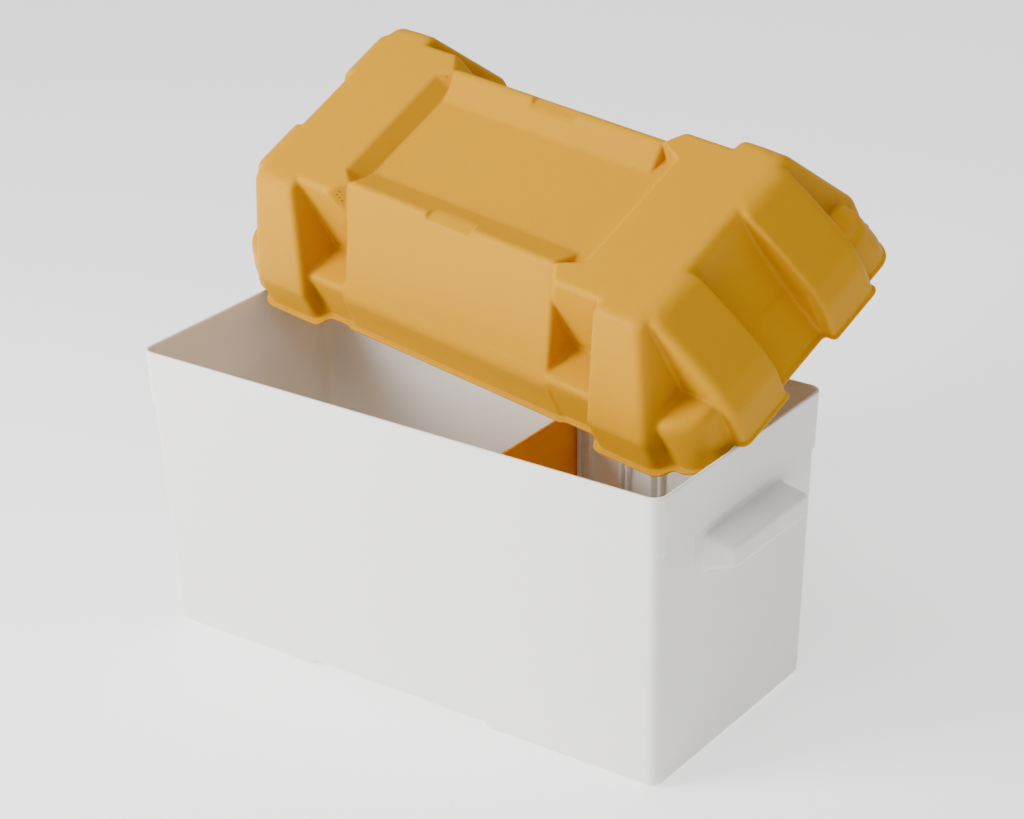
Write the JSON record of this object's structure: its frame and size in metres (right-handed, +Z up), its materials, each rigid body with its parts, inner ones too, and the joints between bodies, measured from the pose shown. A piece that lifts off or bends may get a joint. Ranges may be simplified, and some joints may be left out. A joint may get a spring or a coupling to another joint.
{
  "type": "battery storage drawer case",
  "caption": "Open moulded tub with finger hoods and guide ribs, a lift-out divider plate and a loose ribbed lid propped open on the rim, for boxing in a battery.",
  "frame": {"origin": "centre of the tub's standing plane", "axes": "+X along the tub's length towards the end with the guide ribs, +Y towards the back long wall, which the lid leans over, +Z up"},
  "size_m": [0.4467, 0.3019, 0.3711],
  "materials": {
    "tub_plastic": "satin",
    "lid_plastic": "satin",
    "divider_plastic": "satin"
  },
  "bodies": {
    "tub": {"tub": "tub_plastic"},
    "lid": {"lid": "lid_plastic"},
    "divider": {"divider": "divider_plastic"}
  },
  "joints": [
    {"name": "lid_lift", "type": "slide", "parent": "tub", "child": "lid", "axis": [0, 0, 1], "range_m": [0, 0.2]},
    {"name": "divider_lift", "type": "slide", "parent": "tub", "child": "divider", "axis": [0, 0, 1], "range_m": [0, 0.045]}
  ]
}
